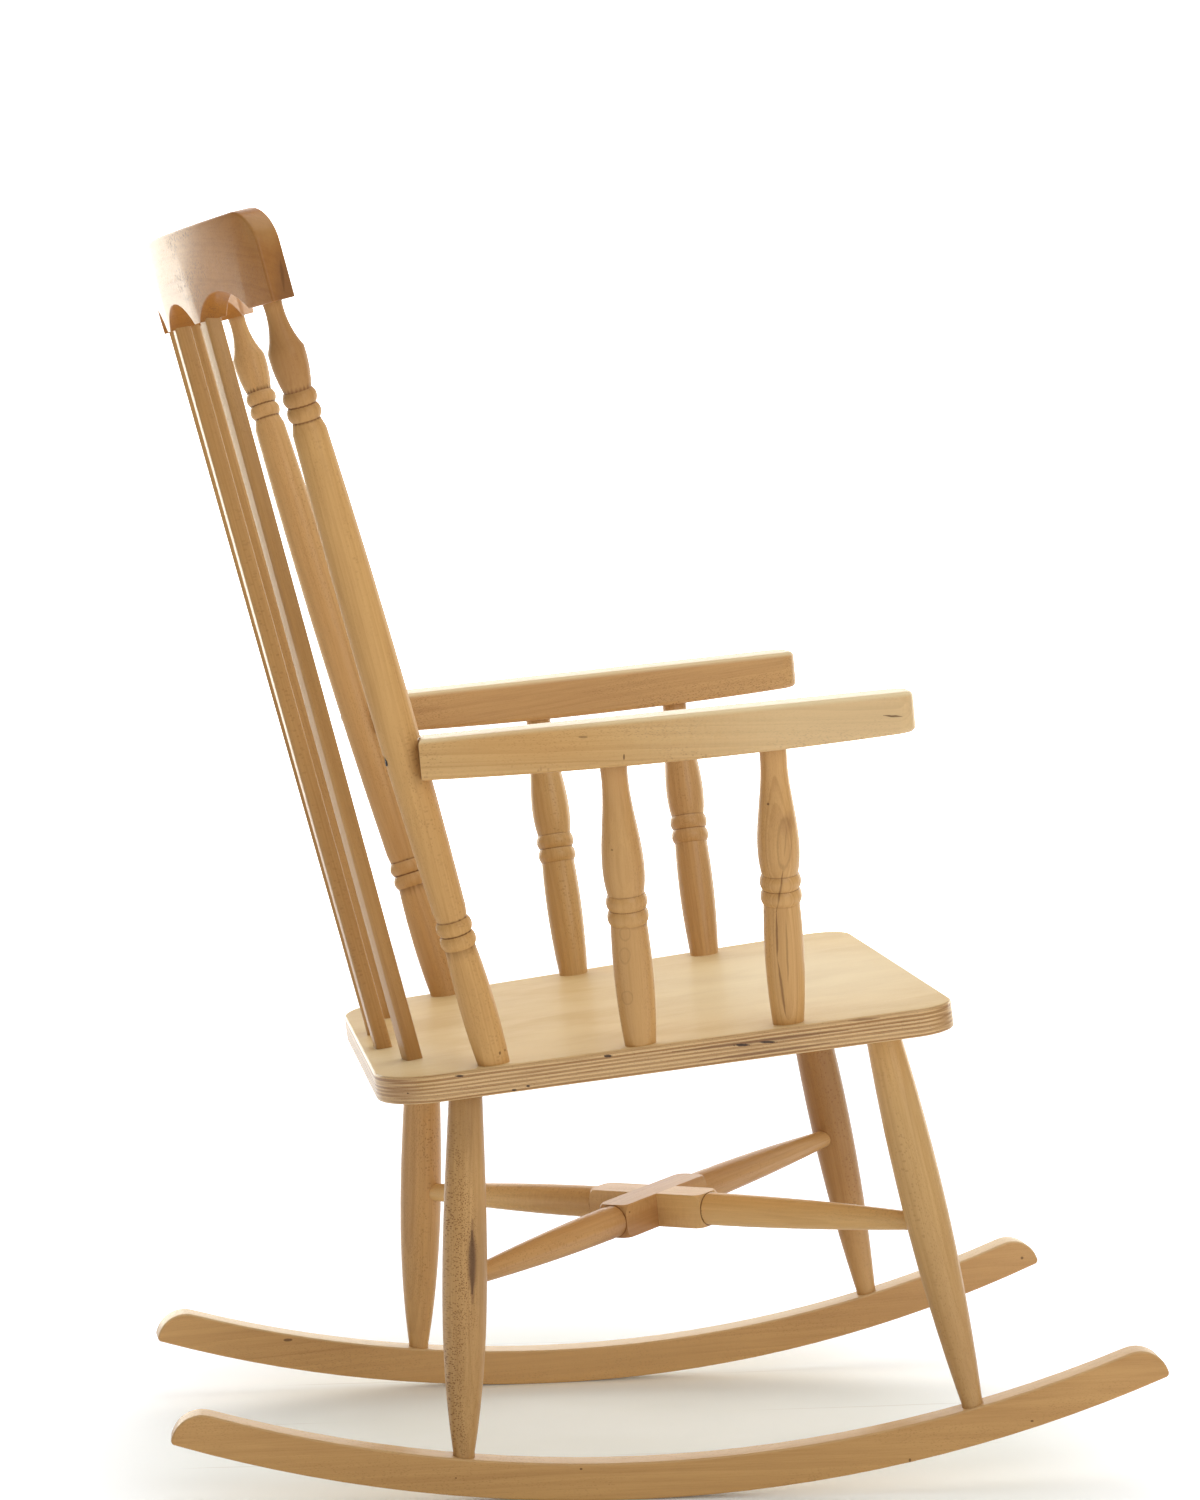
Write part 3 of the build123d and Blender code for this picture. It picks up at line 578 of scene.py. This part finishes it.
def dressPiece(node, material, axes=None, heart=(0, 0, 0)):
    source = nodes[node]
    origin, across, through, along = axes or pieceAxes(source, plainPiece["through"], plainPiece["turn"])
    draft = bpy.data.objects.new(node + "Draft", source.data.copy())
    bpy.context.scene.collection.objects.link(draft)
    modifier = draft.modifiers.new("dress", "NODES")
    modifier.node_group = dressTree
    inputs = {"Crease Angle": dressing["creaseAngle"], "Origin": origin, "Across": across,
              "Through": through, "Along": along, "Heart": Vector(heart), "Material": material}
    for label, value in inputs.items():
        setModifierInput(modifier, label, value)
    bpy.context.view_layer.update()
    graph = bpy.context.evaluated_depsgraph_get()
    mesh = bpy.data.meshes.new_from_object(draft.evaluated_get(graph))
    bpy.data.objects.remove(draft)
    mesh.name = node + "Mesh"
    piece = bpy.data.objects.new(node + "Wood", mesh)
    bpy.context.scene.collection.objects.link(piece)
    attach(piece, "root")
    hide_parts(node)
    return piece


# the beech pieces: where each one lay in its tree, what marks its wood has, and where light and shade are
# painted on it

warmWood = {"Light Wood": (0.61, 0.360, 0.145, 1), "Dark Wood": (0.41, 0.215, 0.080, 1)}
paleWood = {"Light Wood": (0.63, 0.390, 0.160, 1), "Dark Wood": (0.44, 0.245, 0.085, 1)}
brownWood = {"Light Wood": (0.47, 0.198, 0.040, 1), "Dark Wood": (0.31, 0.112, 0.019, 1)}
# a darker copy of the wood, as painted shade for a leg that stands in the seat's shadow
paintedShadeWood = {"Light Wood": (0.56, 0.328, 0.128, 1), "Dark Wood": (0.40, 0.212, 0.073, 1)}
slatWood = {"Light Wood": (0.53, 0.300, 0.108, 1), "Dark Wood": (0.36, 0.180, 0.057, 1)}
rockerWood = {"Light Wood": (0.575, 0.332, 0.129, 1), "Dark Wood": (0.39, 0.198, 0.069, 1)}
lineColour = (0.13, 0.050, 0.015, 1)
# painted sheen on the upward faces of a piece
paintedTopSheen = {"colour": (0.86, 0.72, 0.44, 1), "strength": 0.6, "slopes": (0.05, 0.75)}

beechPieces = {
    "crest_rail": {
        "heart": (0.11, 0.012, 20.6), "through": (1, 0, 0), "polish": 0.74,
        "tint": {**brownWood, "End Strength": 0.45, "Ray Plates": (110, 600, 330), "Ray Share": 0.65},
        "fleckZone": {"centre": (-0.353, -0.180, 1.040), "size": (0.05, 0.042, 0.07), "strength": 1.8},
        "marks": [
            # painted light on the upper part of the near end
            {"at": (-0.293, -0.300, 1.072), "size": (0.026, 0.016, 0.032), "core": 0.2, "strength": 0.35,
             "colour": (0.52, 0.310, 0.120, 1)},
            # painted shade on the lower part of the near end, over its darker end grain
            {"at": (-0.272, -0.303, 1.022), "size": (0.017, 0.030, 0.056), "core": 0.2, "strength": 0.55,
             "colour": (0.17, 0.075, 0.030, 1)},
            {"from": (-0.2790, -0.3030, 1.0420), "to": (-0.2760, -0.3015, 1.0160), "width": 0.0016,
             "strength": 0.6, "colour": lineColour}]},
    "back_post_right": {
        "heart": (0.05, 0.03, 7.3), "turn": 2, "gloss": 0.4,
        "marks": [
            # painted shade: darker at the top of the post below the crest rail
            {"at": (-0.268, -0.285, 0.970), "size": (0.07, 0.06, 0.09), "core": 0.1, "strength": 0.6,
             "colour": (0.28, 0.120, 0.042, 1)},
            {"at": (-0.0910, -0.2148, 0.3846), "size": (0.0010, 0.002, 0.0018)},
            {"at": (-0.0862, -0.2104, 0.3864), "size": (0.0008, 0.002, 0.0012)}]},
    "back_post_left": {"heart": (0.03, 0.05, 6.1), "tint": warmWood, "gloss": 0.6},
    "slat_inner_left": {"heart": (0.04, 0.05, 14.4), "tint": slatWood},
    "slat_inner_right": {"heart": (0.06, 0.02, 15.9), "tint": slatWood},
    "slat_outer_left": {"heart": (0.05, 0.04, 16.2), "tint": slatWood},
    "slat_outer_right": {"heart": (0.02, 0.06, 17.5), "tint": slatWood},
    "arm_right": {
        "heart": (0.035, 0.055, 9.4), "turn": 5, "topSheen": paintedTopSheen,
        "tint": {**paleWood, "Ring Strength": 0.38, "Ray Strength": 0.45},
        "marks": [
            # painted sheen: the front half of the arm is paler
            {"at": (0.190, -0.290, 0.668), "size": (0.24, 0.06, 0.08), "core": 0.1, "strength": 0.34,
             "colour": (0.84, 0.68, 0.42, 1)},
            # painted shade: darker towards the arm's rear end
            {"at": (-0.075, -0.270, 0.650), "size": (0.11, 0.05, 0.03), "core": 0.1, "strength": 0.4,
             "colour": (0.56, 0.285, 0.085, 1)},
            {"at": (0.0035, -0.2788, 0.6387), "size": (0.0009, 0.003, 0.0030)},
            {"from": (0.2170, -0.2940, 0.6728), "to": (0.2330, -0.2952, 0.6718), "width": 0.0009,
             "strength": 0.8},
            {"at": (-0.0302, -0.2764, 0.6552), "size": (0.0045, 0.003, 0.0011), "strength": 0.45}]},
    "arm_left": {"heart": (0.01, 0.06, 8.2), "turn": -2, "tint": {**warmWood, "Ray Strength": 0.6},
                 "topSheen": paintedTopSheen},
    "arm_support_front_right": {
        "heart": (0.004, 0.052, 11.8), "tint": {"Ring Strength": 0.45},
        "marks": [
            {"at": (0.1268, -0.2635, 0.5973), "size": (0.0012, 0.002, 0.0013)},
            {"at": (0.1412, -0.2625, 0.5640), "size": (0.0075, 0.012, 0.0260), "hollow": 0.93,
             "strength": 0.5},
            {"at": (0.1440, -0.2630, 0.5810), "size": (0.0100, 0.012, 0.0150), "core": 0.1,
             "strength": 0.45, "colour": (0.27, 0.125, 0.045, 1)},
            {"from": (0.1425, -0.2640, 0.5800), "to": (0.1410, -0.2590, 0.5480), "width": 0.0008,
             "strength": 0.35, "colour": lineColour},
            {"from": (0.1409, -0.2583, 0.5406), "to": (0.1372, -0.2488, 0.5050), "width": 0.0011,
             "strength": 0.65, "colour": lineColour},
            {"from": (0.1372, -0.2486, 0.5060), "to": (0.1400, -0.2426, 0.4600), "width": 0.0010,
             "strength": 0.65, "colour": lineColour},
            {"from": (0.1398, -0.2426, 0.4650), "to": (0.1503, -0.2319, 0.4090), "width": 0.0012,
             "strength": 0.6, "colour": lineColour},
            {"from": (0.1445, -0.2490, 0.5080), "to": (0.1500, -0.2400, 0.4400), "width": 0.0010,
             "strength": 0.4, "colour": lineColour}]},
    "arm_support_front_left": {"heart": (0.03, 0.01, 10.3), "tint": warmWood},
    "arm_support_rear_right": {
        "heart": (0.01, 0.05, 13.7), "tint": {"Light Wood": (0.58, 0.335, 0.125, 1), "Ring Strength": 0.15},
        "marks": [
            {"at": (0.0105, -0.2425, 0.4880), "size": (0.0050, 0.008, 0.0075), "hollow": 0.95,
             "strength": 0.4},
            {"at": (0.0110, -0.2392, 0.4690), "size": (0.0050, 0.008, 0.0085), "hollow": 0.95,
             "strength": 0.35},
            {"at": (0.0140, -0.2329, 0.4325), "size": (0.0055, 0.008, 0.0070), "hollow": 0.95,
             "strength": 0.4},
            {"at": (-0.0025, -0.2540, 0.5593), "size": (0.0012, 0.002, 0.0010), "strength": 0.5}]},
    "arm_support_rear_left": {"heart": (0.04, 0.02, 12.6), "tint": paleWood},
    "stretcher_over": {
        "heart": (0.02, 0.04, 18.8), "through": (0, 0, 1),
        "tint": {"Light Wood": (0.56, 0.315, 0.120, 1), "Dark Wood": (0.38, 0.190, 0.066, 1)},
        "marks": [
            # painted shade, darker near the crossing under the seat
            {"at": (0.08, -0.02, 0.188), "size": (0.12, 0.10, 0.040), "core": 0.5, "strength": 0.5,
             "colour": (0.27, 0.105, 0.030, 1)},
            {"at": (0.0437, -0.0501, 0.2134), "size": (0.0016, 0.0016, 0.0010)}]},
    "stretcher_under": {
        "heart": (0.05, 0.02, 19.1), "through": (0, 0, 1),
        "tint": {"Light Wood": (0.74, 0.47, 0.20, 1), "Dark Wood": (0.54, 0.31, 0.115, 1)},
        "marks": [
            # painted shade where this stretcher passes under the other
            {"at": (0.04, 0.04, 0.180), "size": (0.15, 0.15, 0.055), "core": 0.4, "strength": 0.5,
             "colour": (0.30, 0.130, 0.042, 1)}]},
    "leg_rear_right": {
        "heart": (0.038, -0.028, 3.1),
        "tint": {**paintedShadeWood, "Fibre Strength": 0.5, "Ray Plates": (60, 700, 190), "Ray Share": 0.75},
        "fleckZone": {"centre": (-0.133, -0.205, 0.20), "size": (0.027, 0.05, 0.28), "strength": 0.75},
        "marks": [
            # painted shade near the rocker, darker at the foot of the leg
            {"at": (-0.119, -0.21, 0.06), "size": (0.05, 0.06, 0.15), "core": 0.1, "strength": 0.15,
             "colour": (0.24, 0.135, 0.055, 1)},
            # painted shadow of the seat on the top of the leg
            {"at": (-0.119, -0.20, 0.355), "size": (0.06, 0.06, 0.10), "core": 0.1, "strength": 0.5,
             "colour": (0.24, 0.130, 0.050, 1)},
            # painted shade on the leg's right side
            {"at": (-0.1040, -0.2105, 0.21), "size": (0.012, 0.03, 0.09), "core": 0.1, "strength": 0.4,
             "colour": (0.24, 0.130, 0.050, 1)},
            {"from": (-0.1135, -0.2103, 0.2420), "to": (-0.1135, -0.2130, 0.1720), "width": 0.0048,
             "strength": 0.5, "colour": (0.17, 0.075, 0.030, 1)},
            {"from": (-0.1138, -0.2103, 0.2330), "to": (-0.1138, -0.2130, 0.1800), "width": 0.0034,
             "strength": 0.7}]},
    "leg_rear_left": {"heart": (0.03, 0.03, 2.2), "tint": {**warmWood, "Ray Strength": 0.5}},
    "leg_front_right": {
        "heart": (-0.03, 0.05, 5.2), "tint": paleWood,
        "marks": [
            {"at": (0.305, -0.215, 0.11), "size": (0.08, 0.06, 0.19), "core": 0.1, "strength": 0.45,
             "colour": (0.36, 0.185, 0.070, 1)}]},
    "leg_front_left": {
        "heart": (0.04, 0.03, 4.4),
        # a darker copy of the wood, as painted shade on the far front leg
        "tint": {"Light Wood": (0.44, 0.235, 0.085, 1), "Dark Wood": (0.29, 0.137, 0.045, 1),
                 "Ray Strength": 0.5},
        "marks": [
            # painted shade under the seat darkens the top of the leg; the foot is paler
            {"at": (0.28, 0.20, 0.33), "size": (0.07, 0.07, 0.17), "core": 0.1, "strength": 0.5,
             "colour": (0.22, 0.105, 0.038, 1)},
            {"at": (0.32, 0.21, 0.08), "size": (0.07, 0.07, 0.14), "core": 0.1, "strength": 0.5,
             "colour": (0.66, 0.400, 0.170, 1)}]},
    "rocker_right": {
        "heart": (0.02, 0.10, 1.1), "turn": 1.5, "gloss": 0.7,
        "tint": rockerWood, "topSheen": {**paintedTopSheen, "strength": 0.15},
        "marks": [
            {"at": (0.3652, -0.2384, 0.0622), "size": (0.0016, 0.003, 0.0010)},
            {"at": (0.2600, -0.2330, 0.0300), "size": (0.0012, 0.003, 0.0020)},
            {"at": (-0.0215, -0.2195, 0.0280), "size": (0.0014, 0.003, 0.0010)},
            {"at": (-0.1275, -0.2143, 0.0223), "size": (0.0009, 0.003, 0.0009)}]},
    "rocker_left": {
        "heart": (0.03, 0.08, 0.3), "tint": warmWood, "topSheen": {**paintedTopSheen, "strength": 0.35},
        "marks": [
            {"at": (0.40, 0.21, 0.05), "size": (0.22, 0.10, 0.12), "core": 0.1, "strength": 0.4,
             "colour": (0.38, 0.200, 0.075, 1)},
            {"at": (0.03, 0.20, 0.03), "size": (0.26, 0.10, 0.10), "core": 0.1, "strength": 0.35,
             "colour": (0.70, 0.450, 0.200, 1)},
            {"at": (-0.2442, 0.1835, 0.0518), "size": (0.0050, 0.003, 0.0016)},
            {"at": (0.4691, 0.2184, 0.1045), "size": (0.0016, 0.003, 0.0016)}]},
}
for node, settings in beechPieces.items():
    piece = {**plainPiece, **settings}
    axes = pieceAxes(nodes[node], piece["through"], piece["turn"])
    wood = makeBeech(node + "Beech", axes[3], piece)
    dressPiece(node, wood, axes, piece["heart"])
dressPiece("seat", plywood)
for node in ("arm_screw_left", "arm_screw_right"):
    dressPiece(node, blackSteel)
print("pieces dressed")


# floor, light and camera

floorLook = {"centre": (0.03, -0.12, 0), "reach": (0.66, 0.85, 1), "boardWidth": 0.145,
             "pale": (0.86, 0.890, 0.900, 1), "shade": (0.83, 0.860, 0.860, 1), "seam": (0.45, 0.41, 0.35, 1),
             "far": (0.95, 0.96, 0.96, 1), "roughness": 0.7, "specular": 0.25, "fade": (0.45, 1.0),
             "patches": (3, 6, 3), "patchSteps": (0.35, 0.65)}
seamLook = {"bend": (5, 5, 5), "bendReach": (0, 0.012, 0), "width": (0.012, 0.004), "breaks": (4, 30, 4),
            "breakSteps": (0.45, 0.62), "strength": 0.35}
# light that the backdrop gives off by itself: a little everywhere, and more around the chair
floorLift = {"everywhere": 0.06, "around": 0.30, "colour": (0.92, 0.95, 1.25), "middle": 0.3,
             "ends": (1.6, 2.6)}
# the wall behind, with brighter strips that the lacquer reflects
whiteWall = {"left": -1.9, "right": 3.6, "top": 4.2, "front": 3.1, "soft": 0.4, "glow": 1.15,
             "colour": (1, 1, 0.88),
             "strips": [{"from": -4.6, "to": -2.3, "glow": 2.1, "front": 4.05},
                        {"from": -1.8, "to": -0.8, "glow": 0.2},
                        {"from": 2.5, "to": 3.4, "glow": 0.6}]}


def makeFloorMaterial():
    material = bpy.data.materials.new("paleFloor")
    material.use_nodes = True
    tree = material.node_tree
    shader = tree.nodes["Principled BSDF"]
    place = addNode(tree, "ShaderNodeTexCoord").outputs["Object"]
    # how far a place lies from the chair, for the painted shade around it
    near = vectorMaths(tree, "SUBTRACT", place, floorLook["centre"])
    near = vectorMaths(tree, "DIVIDE", near, floorLook["reach"])
    away = softStep(tree, vectorMaths(tree, "LENGTH", near, output="Value"), *floorLook["fade"])
    patch = softStep(tree, noise(tree, place, floorLook["patches"], 3.0), *floorLook["patchSteps"])
    pale = mixColours(tree, patch, floorLook["pale"], floorLook["shade"])
    # seams between the floor boards, which come and go
    bent = wander(tree, place, seamLook["bend"], seamLook["bendReach"])
    depth = addNode(tree, "ShaderNodeSeparateXYZ", {0: bent}).outputs[1]
    rows = maths(tree, "DIVIDE", depth, floorLook["boardWidth"])
    fromSeam = maths(tree, "ABSOLUTE", maths(tree, "SUBTRACT", maths(tree, "FRACT", rows), 0.5))
    seam = softStep(tree, fromSeam, *seamLook["width"])
    breaks = softStep(tree, noise(tree, place, seamLook["breaks"]), *seamLook["breakSteps"])
    seam = maths(tree, "MULTIPLY", maths(tree, "MULTIPLY", seam, breaks), seamLook["strength"])
    pale = mixColours(tree, seam, pale, floorLook["seam"])
    # painted shade on the floor around the chair, fading into a floor painted whiter further off
    tree.links.new(mixColours(tree, away, pale, floorLook["far"]), shader.inputs["Base Color"])
    shader.inputs["Roughness"].default_value = floorLook["roughness"]
    shader.inputs["Specular IOR Level"].default_value = floorLook["specular"]
    # the wall behind glows, and the backdrop around the chair, though not under it, is lifted a little
    wall = addNode(tree, "ShaderNodeSeparateXYZ", {0: place}).outputs
    soft = whiteWall["soft"]
    glow = maths(tree, "MULTIPLY", softStep(tree, wall[0], whiteWall["left"] - soft, whiteWall["left"]),
                 softStep(tree, wall[0], whiteWall["right"] + soft, whiteWall["right"]))
    glow = maths(tree, "MULTIPLY", glow, whiteWall["glow"])
    for strip in whiteWall["strips"]:
        light = maths(tree, "MULTIPLY", softStep(tree, wall[0], strip["from"] - soft, strip["from"] + soft),
                      softStep(tree, wall[0], strip["to"] + soft / 2, strip["to"] - soft / 2))
        if "front" in strip:
            behind = softStep(tree, wall[1], strip["front"], strip["front"] + soft)
            light = maths(tree, "MULTIPLY", light, behind)
        glow = maths(tree, "MULTIPLY_ADD", light, strip["glow"], glow)
    behind = softStep(tree, wall[1], whiteWall["front"], whiteWall["front"] + soft)
    below = softStep(tree, wall[2], whiteWall["top"] + soft, whiteWall["top"])
    glow = maths(tree, "MULTIPLY", maths(tree, "MULTIPLY", glow, behind), below)
    reach = maths(tree, "ABSOLUTE", maths(tree, "SUBTRACT", wall[0], floorLift["middle"]))
    reach = softStep(tree, reach, floorLift["ends"][1], floorLift["ends"][0])
    lift = maths(tree, "MULTIPLY", maths(tree, "MULTIPLY", away, floorLift["around"]), reach)
    glow = maths(tree, "ADD", glow, floorLift["everywhere"])
    glow = vectorMaths(tree, "MULTIPLY", whiteWall["colour"], glow)
    lift = vectorMaths(tree, "MULTIPLY", floorLift["colour"], lift)
    tree.links.new(vectorMaths(tree, "ADD", glow, lift), shader.inputs["Emission Color"])
    shader.inputs["Emission Strength"].default_value = 1.0
    return material


backdropShape = {"halfWidth": 9.0, "front": -6.0, "back": 3.6, "curve": 1.6, "height": 7.0, "steps": 24}


# a floor that curves up into the wall
def makeBackdrop():
    back, curve, steps = (backdropShape[name] for name in ("back", "curve", "steps"))
    profile = [(backdropShape["front"], 0.0), (back, 0.0)]
    for step in range(1, steps + 1):
        angle = math.pi / 2 * step / steps
        profile.append((back + curve * math.sin(angle), curve * (1 - math.cos(angle))))
    profile.append((profile[-1][0], backdropShape["height"]))
    halfWidth = backdropShape["halfWidth"]
    points = [(x, y, z) for y, z in profile for x in (-halfWidth, halfWidth)]
    faces = [(i, i + 1, i + 3, i + 2) for i in range(0, len(points) - 2, 2)]
    mesh = bpy.data.meshes.new("backdropMesh")
    mesh.from_pydata(points, [], faces)
    mesh.shade_smooth()
    backdrop = bpy.data.objects.new("backdrop", mesh)
    bpy.context.scene.collection.objects.link(backdrop)
    backdrop.data.materials.append(makeFloorMaterial())


warmLight = (1, 0.97, 0.86)
whiteLight = (1, 1, 1)
studioLights = {
    "topSoftbox": {"place": (0.4, 0.0, 3.4), "target": (0.1, 0, 0.3), "size": (2.6, 2.6), "power": 33,
                   "colour": whiteLight},
    "frontPanel": {"place": (3.0, 2.3, 1.1), "target": (0, 0, 0.7), "size": (1.4, 1.8), "power": 36,
                   "colour": warmLight},
    "rearPanel": {"place": (-1.5, 3.3, 0.9), "target": (-0.2, 0, 0.7), "size": (2.6, 2.2), "power": 34,
                  "colour": warmLight},
    "sideSoftbox": {"place": (1.3, -3.2, 1.9), "target": (0.1, 0, 0.6), "size": (2.2, 2.2), "power": 42,
                    "colour": whiteLight},
}
roomLight = {"Color": (1.0, 0.99, 0.93, 1), "Strength": 0.36}


def addAreaLight(name, lamp):
    data = bpy.data.lights.new(name, "AREA")
    data.shape = "RECTANGLE"
    data.size, data.size_y = lamp["size"]
    data.energy = lamp["power"]
    data.color = lamp["colour"]
    light = bpy.data.objects.new(name, data)
    light.location = lamp["place"]
    aim = Vector(lamp["target"]) - Vector(lamp["place"])
    light.rotation_euler = aim.to_track_quat("-Z", "Y").to_euler()
    bpy.context.scene.collection.objects.link(light)


def addRoomLight():
    world = bpy.data.worlds.new("studio")
    bpy.context.scene.world = world
    world.use_nodes = True
    for label, value in roomLight.items():
        world.node_tree.nodes["Background"].inputs[label].default_value = value


makeBackdrop()
for name, lamp in studioLights.items():
    addAreaLight(name, lamp)
addRoomLight()

# angles in degrees, the focal length and the image's height in pixels, the sensor's height in mm
view = {"place": (-0.4783, -3.5569, 0.9267), "yaw": 8.02, "pitch": 4.87, "roll": 0.26,
        "focalLength": 4049.7, "imageHeight": 1500, "sensorHeight": 36}


def placeCamera():
    yaw, pitch, roll = (math.radians(view[name]) for name in ("yaw", "pitch", "roll"))
    ahead = Vector((math.sin(yaw) * math.cos(pitch), math.cos(yaw) * math.cos(pitch), -math.sin(pitch)))
    level = Vector((math.cos(yaw), -math.sin(yaw), 0))
    upright = level.cross(ahead)
    right = level * math.cos(roll) + upright * math.sin(roll)
    upward = upright * math.cos(roll) - level * math.sin(roll)
    data = bpy.data.cameras.new("camera")
    data.sensor_fit = "VERTICAL"
    data.sensor_height = view["sensorHeight"]
    data.lens = view["focalLength"] * view["sensorHeight"] / view["imageHeight"]
    camera = bpy.data.objects.new("camera", data)
    turned = Matrix((right, upward, -ahead)).transposed().to_4x4()
    camera.matrix_world = Matrix.Translation(view["place"]) @ turned
    bpy.context.scene.collection.objects.link(camera)
    bpy.context.scene.camera = camera


placeCamera()
bpy.context.scene.view_settings.view_transform = "Standard"
print("studio ready")
